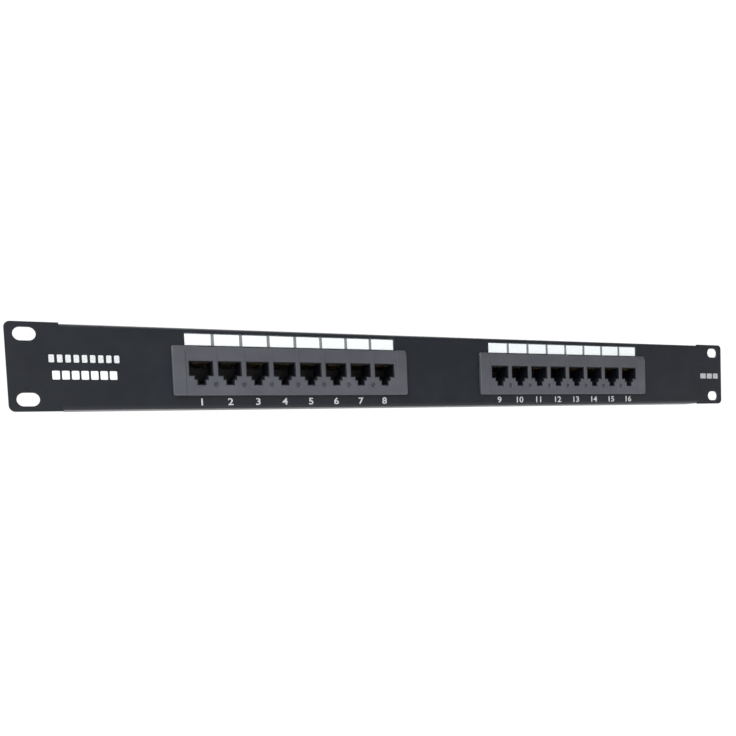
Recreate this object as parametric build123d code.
from build123d import *
import math
import os

# Sixteen-port network patch panel, one rack unit, 19-inch.
# X runs along the panel, Y runs from the front into the rack, Z is up.
# Origin: centre of the four rack slots, on the rear face of the rack ears.
# All dimensions are in millimetres.

# ---- steel panel -------------------------------------------------------------
PANEL_W = 482.6            # 19-inch panel width
EAR_H = 43.5               # height of the flat rack ears
BODY_H = 42.6              # height over the two folded flanges
STEEL_T = 1.5
CORNER_R = 3.0
FLANGE_HALF = 217.0        # the flanges end here on each side
FLANGE_REAR = 10.5         # rear edge of the flanges
BEND_R = 2.0               # outside bend radius
SLOT_DX = 465.1            # rack slot spacing across
SLOT_DZ = 31.75            # rack slot spacing up
SLOT_L = 10.3
SLOT_W = 6.6
FRONT = -STEEL_T           # y of the panel's front face

# ---- jack modules ------------------------------------------------------------
MODULE_X = 94.8            # module centres at -MODULE_X and +MODULE_X
PORTS = 8                  # ports in one module
PITCH = 15.4               # port pitch
FIELD_HALF = PORTS * PITCH / 2.0
BEZEL_HALF = 68.8
BEZEL_BOTTOM = -14.4
BEZEL_TOP = 11.5
END_TOP = 12.0             # the end blocks stand a little higher and slope back at the top
END_SLOPE_H = 3.0
END_SLOPE_D = 1.15
BEZEL_PROUD = 1.6
END_PROUD = 1.95
BODY_HALF = 66.7           # what passes through the cut-out
BODY_BOTTOM = -12.1
BODY_TOP = 10.1
BODY_REAR = 12.9
JACK_W = 15.2              # one jack body, a little less than the port pitch
POST_INNER = 61.75         # end posts of the bezel, which carry the board
PEG_R = 1.1                # locating pegs of each jack body in the board
PEG_X = 4.6
PEG_Z = -5.4
CUT_GAP = 0.3              # cut-out clearance around the body
MOUTH_W = 11.8             # plug opening
MOUTH_TOP = 3.3
MOUTH_BOTTOM = -3.6
STEP_W = 6.4               # latch step
STEP_BOTTOM = -5.6
LATCH_W = 3.5              # latch slot
LATCH_BOTTOM = -8.4
CAVITY_REAR = 9.6
RIM = 0.6                  # black rim of a jack body around the plug opening, inside the bezel's opening
RIM_GAP = 0.05
RIM_SET_BACK = 0.25        # the rim lies this far behind the bezel's front
RIM_CHAMFER = 0.25
OPENING_CHAMFER = 0.2
LINE_W = 0.9               # raised lines between the ports
LINE_PROUD = 0.25
DIMPLE_R = 1.3
DIMPLE_DEPTH = 1.0
DIMPLE_Z = -8.6
CHAMBER_W = 12.8           # chamber for the contact carrier
CHAMBER_TOP = 7.4
CHAMBER_FRONT = 0.3

# ---- contact carriers and contacts -------------------------------------------
CARRIER_GAP = 0.1
CARRIER_FLOOR = 3.4
WIRES = 8
WIRE_PITCH = 1.016
WIRE_T = 0.36
BEAM_PIVOT_Y = 1.3
BEAM_PIVOT_Z = 2.95
BEAM_TIP_Y = 9.0
BEAM_TIP_Z = 1.1
COMB_FRONT = 8.0
COMB_REAR = 9.35
COMB_BOTTOM = 1.0
TAIL_ROW_A = 3.9           # heights of the two rows of solder tails
TAIL_ROW_B = 5.2
TAIL_END = 15.3

# ---- circuit boards ----------------------------------------------------------
BOARD_T = 1.6
BOARD_FRONT = BODY_REAR
BOARD_REAR = BOARD_FRONT + BOARD_T
BOARD_HALF = 66.6
BOARD_MID_Z = -1.0
BOARD_HALF_H = 17.6
SCREW_X = 64.1
SCREW_DZ = 6.0
SCREW_R = 1.2
SCREW_LEN = 9.0
HEAD_R = 2.25
HEAD_H = 1.8

# ---- insulation-displacement blocks ------------------------------------------
IDC_ROW = 12.7             # row distance from the board's middle
IDC_PITCH_X = 31.0
IDC_L = 29.8
IDC_HALF_H = 4.5
IDC_H = 13.0
IDC_BASE = 4.6
IDC_SLOTS = 8
IDC_SLOT_PITCH = 3.7
IDC_SLOT_W = 1.2
CLIP_W = 2.4
CLIP_T = 0.5
CLIP_SLIT = 0.4

# ---- wiring guide between the block rows --------------------------------------
GUIDE_HALF = 61.4
GUIDE_HALF_H = 7.3
GUIDE_H = 2.8
GUIDE_WALL = 0.8

# ---- port labels --------------------------------------------------------------
HOLDER_LEFT = -61.8        # ends of a holder, from its module's centre
HOLDER_RIGHT = 60.4
HOLDER_BOTTOM = 11.65
HOLDER_TOP = 18.5
HOLDER_PROUD = 1.3
HOLDER_BACK = 0.3
HOLDER_WINDOW = 0.4
HOLDER_LIP = 0.4
CARD_T = 0.3
CARD_GAP = 0.1


def block(x0, x1, y0, y1, z0, z1):
    return Pos((x0 + x1) / 2, (y0 + y1) / 2, (z0 + z1) / 2) * Box(
        abs(x1 - x0), abs(y1 - y0), abs(z1 - z0)
    )


def rod_y(x, z, r, y0, y1):
    """Cylinder along Y."""
    return Pos(x, (y0 + y1) / 2, z) * Rot(90, 0, 0) * Cylinder(r, abs(y1 - y0))


def prism_x(points, x0, x1):
    """Closed (y, z) outline swept along X."""
    face = make_face(Polyline(*points, close=True))
    return extrude(Plane.YZ.offset(x0) * face, amount=x1 - x0)


def prism_y(points, y0, y1):
    """Closed (x, z) outline swept along Y."""
    plane = Plane(origin=(0, y0, 0), x_dir=(1, 0, 0), z_dir=(0, -1, 0))
    face = make_face(Polyline(*points, close=True))
    return extrude(plane * face, amount=-(y1 - y0))


def strip(points, t):
    """Outline of a bent strip of thickness t along a (y, z) centre line."""
    left, right = [], []
    n = len(points)
    for i, (py, pz) in enumerate(points):
        dirs = []
        if i > 0:
            a = points[i - 1]
            d = math.hypot(py - a[0], pz - a[1])
            dirs.append(((py - a[0]) / d, (pz - a[1]) / d))
        if i < n - 1:
            b = points[i + 1]
            d = math.hypot(b[0] - py, b[1] - pz)
            dirs.append(((b[0] - py) / d, (b[1] - pz) / d))
        nx = -sum(d[1] for d in dirs) / len(dirs)
        nz = sum(d[0] for d in dirs) / len(dirs)
        k = (t / 2) / (nx * nx + nz * nz)
        left.append((py + nx * k, pz + nz * k))
        right.append((py - nx * k, pz - nz * k))
    return left + right[::-1]


def edges_along(shape, axis, test):
    return [e for e in shape.edges().filter_by(axis) if test(e.center())]


def near(a, b, tol=0.02):
    return abs(a - b) < tol


def save(name, solids):
    solids = solids if isinstance(solids, list) else [solids]
    flat = [s for item in solids for s in item.solids()]
    export_step(Compound(label=name, children=flat), "parts/" + name + ".step")


os.makedirs("parts", exist_ok=True)
SIDES = {"left": -MODULE_X, "right": MODULE_X}

# ==============================================================================
# Front panel: folded steel with flat ears, four rack slots and two cut-outs
# ==============================================================================
hb, he = BODY_H / 2, EAR_H / 2
channel = prism_x(
    [
        (FRONT, -hb), (FLANGE_REAR, -hb), (FLANGE_REAR, -hb + STEEL_T),
        (0, -hb + STEEL_T), (0, hb - STEEL_T), (FLANGE_REAR, hb - STEEL_T),
        (FLANGE_REAR, hb), (FRONT, hb),
    ],
    -FLANGE_HALF, FLANGE_HALF,
)
channel = fillet(
    edges_along(channel, Axis.X, lambda c: near(c.Y, FRONT) and near(abs(c.Z), hb)),
    radius=BEND_R,
)
channel = fillet(
    edges_along(channel, Axis.X, lambda c: near(c.Y, 0) and near(abs(c.Z), hb - STEEL_T)),
    radius=BEND_R - STEEL_T,
)
channel = fillet(
    edges_along(channel, Axis.X, lambda c: near(c.Y, FLANGE_REAR)), radius=0.3
)

ears = []
for s in (-1, 1):
    ear = block(s * FLANGE_HALF, s * PANEL_W / 2, FRONT, 0, -he, he)
    ear = fillet(
        edges_along(ear, Axis.Y, lambda c: near(abs(c.X), PANEL_W / 2)), radius=CORNER_R
    )
    front_rim = [
        e for e in ear.edges()
        if near(e.center().Y, FRONT) and abs(e.center().X) > FLANGE_HALF + 0.5
    ]
    ear = fillet(front_rim, radius=0.3)
    for t in (-1, 1):
        slot = Pos(s * SLOT_DX / 2, (FRONT) / 2, t * SLOT_DZ / 2) * Rot(90, 0, 0) * extrude(
            SlotOverall(SLOT_L, SLOT_W), amount=3, both=True
        )
        ear -= slot
        rim = [
            e for e in ear.edges()
            if near(e.center().Y, FRONT)
            and abs(e.center().X - s * SLOT_DX / 2) < SLOT_L / 2 + 0.1
            and abs(e.center().Z - t * SLOT_DZ / 2) < SLOT_W / 2 + 0.1
        ]
        ear = chamfer(rim, length=0.2)
    ears.append(ear)

panel = channel + ears[0] + ears[1]
for cx in SIDES.values():
    opening = block(
        cx - BODY_HALF - CUT_GAP, cx + BODY_HALF + CUT_GAP, FRONT - 1, 1,
        BODY_BOTTOM - CUT_GAP, BODY_TOP + CUT_GAP,
    )
    opening = fillet(edges_along(opening, Axis.Y, lambda c: True), radius=0.25)
    panel -= opening
save("front_panel", panel)

# ==============================================================================
# Jack modules: a grey bezel in front of the steel, whose end posts pass through
# the cut-out and carry the board, and eight black jack bodies behind it
# ==============================================================================
def stepped(g):
    """The stepped plug opening, grown by g on every side."""
    m, s, n = MOUTH_W / 2 + g, STEP_W / 2 + g, LATCH_W / 2 + g
    top, bottom, step, latch = MOUTH_TOP + g, MOUTH_BOTTOM - g, STEP_BOTTOM - g, LATCH_BOTTOM - g
    return [
        (-m, top), (-m, bottom), (-s, bottom), (-s, step), (-n, step), (-n, latch),
        (n, latch), (n, step), (s, step), (s, bottom), (m, bottom), (m, top),
    ]


PORT_X = [(i - (PORTS - 1) / 2) * PITCH for i in range(PORTS)]
SCREWS = [(sx * SCREW_X, BOARD_MID_Z + sz * SCREW_DZ) for sx in (-1, 1) for sz in (-1, 1)]
main_front = FRONT - BEZEL_PROUD
end_front = FRONT - END_PROUD
rim_front = main_front + RIM_SET_BACK


def make_bezel():
    bezel = block(-FIELD_HALF - 0.6, FIELD_HALF + 0.6, main_front, FRONT, BEZEL_BOTTOM, BEZEL_TOP)
    bezel = fillet(edges_along(bezel, Axis.X, lambda c: near(c.Y, main_front)), radius=0.7)
    for s in (-1, 1):
        x0, x1 = sorted((s * (FIELD_HALF + 0.3), s * BEZEL_HALF))
        end = prism_x(
            [
                (FRONT, BEZEL_BOTTOM), (end_front, BEZEL_BOTTOM), (end_front, END_TOP - END_SLOPE_H),
                (end_front + END_SLOPE_D, END_TOP), (FRONT, END_TOP),
            ],
            x0, x1,
        )
        end = fillet(edges_along(end, Axis.Y, lambda c: near(abs(c.X), BEZEL_HALF)), radius=1.2)
        rim = [
            e for e in end.edges()
            if e.center().Y < end_front + END_SLOPE_D / 2 + 0.05 and abs(e.center().X) > FIELD_HALF + 1.0
        ]
        end = fillet(rim, radius=0.7)
        inner = edges_along(
            end, Axis.Z, lambda c: near(c.Y, end_front) and abs(c.X) < FIELD_HALF + 1.0
        )
        end = fillet(inner, radius=0.3)
        bezel += end
    # raised lines between the ports, above the openings
    for i in range(1, PORTS):
        x = (i - PORTS / 2) * PITCH
        line = block(x - LINE_W / 2, x + LINE_W / 2, main_front - LINE_PROUD, main_front + 0.4, 3.9, 11.0)
        line = fillet(
            [e for e in line.edges() if near(e.center().Y, main_front - LINE_PROUD)],
            radius=LINE_PROUD * 0.8,
        )
        bezel += line
    # small dimples between the latch slots
    for i in range(1, PORTS):
        x = (i - PORTS / 2) * PITCH
        bezel -= rod_y(x, DIMPLE_Z, DIMPLE_R, main_front - 1, main_front + DIMPLE_DEPTH)
    for x in PORT_X:
        bezel -= prism_y([(x + px, pz) for px, pz in stepped(RIM)], main_front - 1, FRONT + 1)
    opening_edges = [
        e for e in bezel.edges()
        if near(e.center().Y, main_front)
        and LATCH_BOTTOM - RIM - 0.1 < e.center().Z < MOUTH_TOP + RIM + 0.1
        and any(abs(e.center().X - x) < MOUTH_W / 2 + RIM + 0.1 for x in PORT_X)
    ]
    bezel = chamfer(opening_edges, length=OPENING_CHAMFER)
    # end posts with snap hooks behind the steel and pilot holes for the board screws
    for sx in (-1, 1):
        bezel += block(sx * POST_INNER, sx * BODY_HALF, FRONT - 0.2, BODY_REAR, BODY_BOTTOM, BODY_TOP)
        for z, s in ((BODY_TOP, 1), (BODY_BOTTOM, -1)):
            x = sx * (POST_INNER + BODY_HALF) / 2
            bezel += prism_x(
                [(0.08, z - 0.4 * s), (0.08, z + 0.85 * s), (0.5, z + 0.85 * s), (3.0, z), (3.0, z - 0.4 * s)],
                x - 1.8, x + 1.8,
            )
    for x, z in SCREWS:
        bezel -= rod_y(x, z, SCREW_R + 0.05, BODY_REAR - SCREW_LEN + BOARD_T - 0.4, BODY_REAR + 1)
    return bezel


def make_jack():
    """One jack body: a rim in the bezel's opening, the plug cavity, the carrier chamber and two pegs."""
    w = JACK_W / 2
    shape = block(-w, w, FRONT + 0.05, BODY_REAR, BODY_BOTTOM, BODY_TOP)
    shape += prism_y(stepped(RIM - RIM_GAP), rim_front, FRONT + 0.2)
    shape -= prism_y(stepped(0), rim_front - 1, CAVITY_REAR)
    across = (MOUTH_TOP, MOUTH_BOTTOM, STEP_BOTTOM, LATCH_BOTTOM)
    up = (MOUTH_W / 2, STEP_W / 2, LATCH_W / 2)
    lead_in = edges_along(
        shape, Axis.X, lambda c: near(c.Y, rim_front) and any(near(c.Z, z) for z in across)
    ) + edges_along(
        shape, Axis.Z, lambda c: near(c.Y, rim_front) and any(near(abs(c.X), x) for x in up)
    )
    shape = chamfer(lead_in, length=RIM_CHAMFER)
    shape -= block(
        -CHAMBER_W / 2, CHAMBER_W / 2, CHAMBER_FRONT, BODY_REAR + 1, MOUTH_TOP, CHAMBER_TOP
    )
    for sx in (-1, 1):
        peg = rod_y(sx * PEG_X, PEG_Z, PEG_R, BODY_REAR - 0.2, BOARD_REAR + 0.9)
        peg = chamfer([e for e in peg.edges() if near(e.center().Y, BOARD_REAR + 0.9)], length=0.3)
        shape += peg
    return shape


bezel, jack = make_bezel(), make_jack()
for side, cx in SIDES.items():
    save("bezel_" + side, Pos(cx, 0, 0) * bezel)
    save("jack_bodies_" + side, [Pos(cx + x, 0, 0) * jack for x in PORT_X])

# ==============================================================================
# Contact carriers, sprung contacts and their fixed tails
# ==============================================================================
WIRE_X = [(k - (WIRES - 1) / 2) * WIRE_PITCH for k in range(WIRES)]


def tail_line(k):
    z = TAIL_ROW_A if k % 2 == 0 else TAIL_ROW_B
    front = [(CHAMBER_FRONT + 0.9, TAIL_ROW_A)]
    if z == TAIL_ROW_A:
        return front + [(TAIL_END, z)]
    return front + [(8.6, TAIL_ROW_A), (10.2, z), (TAIL_END, z)]


def make_tails():
    return [
        prism_x(strip(tail_line(k), WIRE_T), x - WIRE_T / 2, x + WIRE_T / 2)
        for k, x in enumerate(WIRE_X)
    ]


def make_carrier(tails):
    half = CHAMBER_W / 2 - CARRIER_GAP
    shape = block(
        -half, half, CHAMBER_FRONT + 0.15, BODY_REAR - 0.05, CARRIER_FLOOR, CHAMBER_TOP - CARRIER_GAP
    )
    shape = chamfer(
        edges_along(shape, Axis.X, lambda c: c.Y < 1 and c.Z > 5), length=0.8
    )
    for k in range(1, WIRES):
        x = (k - WIRES / 2) * WIRE_PITCH
        shape += block(x - 0.17, x + 0.17, COMB_FRONT, COMB_REAR, COMB_BOTTOM, CARRIER_FLOOR + 0.1)
    for t in tails:
        shape -= t
    return shape


def make_beams():
    """Eight sprung contact wires: a short curl at the front, a sloping beam and a turned-up tip."""
    line = [
        (BEAM_PIVOT_Y - 0.55, BEAM_PIVOT_Z + 0.10),
        (BEAM_PIVOT_Y - 0.05, BEAM_PIVOT_Z + 0.02),
        (BEAM_PIVOT_Y + 0.6, BEAM_PIVOT_Z - 0.12),
        (BEAM_TIP_Y - 0.9, BEAM_TIP_Z),
        (BEAM_TIP_Y, BEAM_TIP_Z + 0.06),
    ]
    return [prism_x(strip(line, WIRE_T), x - WIRE_T / 2, x + WIRE_T / 2) for x in WIRE_X]


one_tails = make_tails()
one_carrier = make_carrier(one_tails)
one_beams = make_beams()
port_number = 0
for side, cx in SIDES.items():
    save("contact_carriers_" + side, [Pos(cx + x, 0, 0) * one_carrier for x in PORT_X])
    save("contact_tails_" + side, [Pos(cx + x, 0, 0) * t for x in PORT_X for t in one_tails])
    for x in PORT_X:
        port_number += 1
        save(f"contacts_port_{port_number:02d}", [Pos(cx + x, 0, 0) * b for b in one_beams])

# ==============================================================================
# Circuit boards and their screws
# ==============================================================================
IDC_X = [(i - 1.5) * IDC_PITCH_X for i in range(4)]
CLIP_X = [(k - (IDC_SLOTS - 1) / 2) * IDC_SLOT_PITCH for k in range(IDC_SLOTS)]


def make_board():
    outline = RectangleRounded(2 * BOARD_HALF, 2 * BOARD_HALF_H, 1.0)
    holes = []
    for x in PORT_X:
        for k, wx in enumerate(WIRE_X):
            z = TAIL_ROW_A if k % 2 == 0 else TAIL_ROW_B
            holes.append(Pos(x + wx, z - BOARD_MID_Z) * Circle(0.4))
        for sx in (-1, 1):
            holes.append(Pos(x + sx * PEG_X, PEG_Z - BOARD_MID_Z) * Circle(PEG_R + 0.1))
    for bx in IDC_X:
        for c in CLIP_X:
            for s in (-1, 1):
                holes.append(Pos(bx + c, s * IDC_ROW) * Circle(0.5))
    for x, z in SCREWS:
        holes.append(Pos(x, z - BOARD_MID_Z) * Circle(SCREW_R + 0.2))
    sketch = outline - holes
    plane = Plane(origin=(0, BOARD_FRONT, BOARD_MID_Z), x_dir=(1, 0, 0), z_dir=(0, -1, 0))
    return extrude(plane * sketch, amount=-BOARD_T)


def make_screw(x, z):
    head = rod_y(x, z, HEAD_R, BOARD_REAR, BOARD_REAR + HEAD_H)
    head = fillet(
        [e for e in head.edges() if near(e.center().Y, BOARD_REAR + HEAD_H)], radius=0.9
    )
    screw = head + rod_y(x, z, SCREW_R, BOARD_REAR - SCREW_LEN, BOARD_REAR + 0.1)
    tip = [e for e in screw.edges() if near(e.center().Y, BOARD_REAR - SCREW_LEN)]
    screw = chamfer(tip, length=0.6)
    for w, h in ((2.6, 0.6), (0.6, 2.6)):
        screw -= block(
            x - w / 2, x + w / 2, BOARD_REAR + HEAD_H - 0.9, BOARD_REAR + HEAD_H + 1,
            z - h / 2, z + h / 2,
        )
    return screw


board = make_board()
screws = [make_screw(x, z) for x, z in SCREWS]
for side, cx in SIDES.items():
    save("circuit_board_" + side, Pos(cx, 0, 0) * board)
    save("board_screws_" + side, [Pos(cx, 0, 0) * s for s in screws])

# ==============================================================================
# Punch-down blocks behind the boards: eight wire slots with a forked clip in each
# ==============================================================================
def make_idc_block():
    y0, y1 = BOARD_REAR, BOARD_REAR + IDC_H
    shape = block(-IDC_L / 2, IDC_L / 2, y0, y1, -IDC_HALF_H, IDC_HALF_H)
    # the upper half is narrower, so the wires can be led in from both sides
    for s in (-1, 1):
        shape -= prism_x(
            [
                (y0 + IDC_BASE, s * (IDC_HALF_H + 1)), (y0 + IDC_BASE, s * (IDC_HALF_H - 0.7)),
                (y1 - 1.6, s * (IDC_HALF_H - 1.1)), (y1 + 0.5, s * (IDC_HALF_H - 2.6)),
                (y1 + 0.5, s * (IDC_HALF_H + 1)),
            ],
            -IDC_L, IDC_L,
        )
    for x in CLIP_X:
        w = IDC_SLOT_W / 2
        # wire slot with a flared mouth, leaving pointed teeth
        shape -= prism_y_at(
            [
                (x - w, y0 + IDC_BASE + 0.9), (x + w, y0 + IDC_BASE + 0.9), (x + w, y1 - 2.4),
                (x + IDC_SLOT_PITCH / 2 - 0.3, y1 + 0.1), (x - IDC_SLOT_PITCH / 2 + 0.3, y1 + 0.1),
                (x - w, y1 - 2.4),
            ]
        )
        # pocket for the clip
        shape -= block(
            x - CLIP_W / 2 - 0.05, x + CLIP_W / 2 + 0.05, y0 + 1.0, y1 + 1,
            -CLIP_T / 2 - 0.05, CLIP_T / 2 + 0.05,
        )
        # passage for the clip's solder tail
        shape -= block(x - 0.4, x + 0.4, y0 - 1, y0 + 1.5, -0.35, 0.35)
    return shape


def prism_y_at(points_xy):
    """Closed (x, y) outline swept along Z through the whole block."""
    face = make_face(Polyline(*points_xy, close=True))
    return extrude(Plane.XY.offset(-IDC_HALF_H - 2) * face, amount=2 * IDC_HALF_H + 4)


def make_clip(x):
    """Forked clip: a plate with a slit for the wire and a tail through the board."""
    y0, y1 = BOARD_REAR + 1.1, BOARD_REAR + IDC_H - 2.2
    w, s = CLIP_W / 2, CLIP_SLIT / 2
    outline = [
        (x - w, y0), (x - 0.3, y0), (x - 0.3, BOARD_FRONT - 0.8), (x + 0.3, BOARD_FRONT - 0.8),
        (x + 0.3, y0), (x + w, y0), (x + w, y1), (x + s + 0.35, y1), (x + s, y1 - 0.8),
        (x + s, y1 - 6.0), (x - s, y1 - 6.0), (x - s, y1 - 0.8), (x - s - 0.35, y1), (x - w, y1),
    ]
    face = make_face(Polyline(*outline, close=True))
    return extrude(Plane.XY.offset(-CLIP_T / 2) * face, amount=CLIP_T)


idc_block = make_idc_block()
clips = [make_clip(x) for x in CLIP_X]
number = 0
for side, cx in SIDES.items():
    placed_clips = []
    for s in (1, -1):
        for bx in IDC_X:
            number += 1
            at = Pos(cx + bx, 0, BOARD_MID_Z + s * IDC_ROW)
            save(f"idc_block_{number:02d}", at * idc_block)
            placed_clips += [at * c for c in clips]
    save("idc_clips_" + side, placed_clips)

# ==============================================================================
# Wiring guides: moulded covers between the two rows of blocks
# ==============================================================================
def make_guide():
    y0, y1 = BOARD_REAR, BOARD_REAR + GUIDE_H
    z0, z1 = BOARD_MID_Z - GUIDE_HALF_H, BOARD_MID_Z + GUIDE_HALF_H
    shape = block(-GUIDE_HALF, GUIDE_HALF, y0, y1, z0, z1)
    shape = fillet(edges_along(shape, Axis.Y, lambda c: True), radius=0.8)
    shape = fillet([e for e in shape.edges() if near(e.center().Y, y1)], radius=0.4)
    shape -= block(
        -GUIDE_HALF + GUIDE_WALL, GUIDE_HALF - GUIDE_WALL, y0 - 1, y1 - 1.0,
        z0 + GUIDE_WALL, z1 - GUIDE_WALL,
    )
    return shape


guide = make_guide()
for side, cx in SIDES.items():
    save("wiring_guide_" + side, Pos(cx, 0, 0) * guide)

# ==============================================================================
# Port labels: clear channel on the panel's face and a card that slides in it
# ==============================================================================
def make_holder():
    y0, y1 = FRONT - HOLDER_PROUD, FRONT
    shape = block(HOLDER_LEFT, HOLDER_RIGHT, y0, y1, HOLDER_BOTTOM, HOLDER_TOP)
    shape = fillet(edges_along(shape, Axis.X, lambda c: near(c.Y, y0)), radius=0.25)
    shape -= block(
        HOLDER_LEFT - 1, HOLDER_RIGHT + 1, y0 + HOLDER_WINDOW, y1 - HOLDER_BACK,
        HOLDER_BOTTOM + HOLDER_LIP, HOLDER_TOP - HOLDER_LIP,
    )
    return shape


def make_card():
    mid = FRONT - HOLDER_PROUD + HOLDER_WINDOW + (HOLDER_PROUD - HOLDER_WINDOW - HOLDER_BACK) / 2
    return block(
        HOLDER_LEFT + 0.1, HOLDER_RIGHT - 0.1, mid - CARD_T / 2, mid + CARD_T / 2,
        HOLDER_BOTTOM + HOLDER_LIP + CARD_GAP, HOLDER_TOP - HOLDER_LIP - CARD_GAP,
    )


holder, card = make_holder(), make_card()
for side, cx in SIDES.items():
    save("label_holder_" + side, Pos(cx, 0, 0) * holder)
    save("label_card_" + side, Pos(cx, 0, 0) * card)
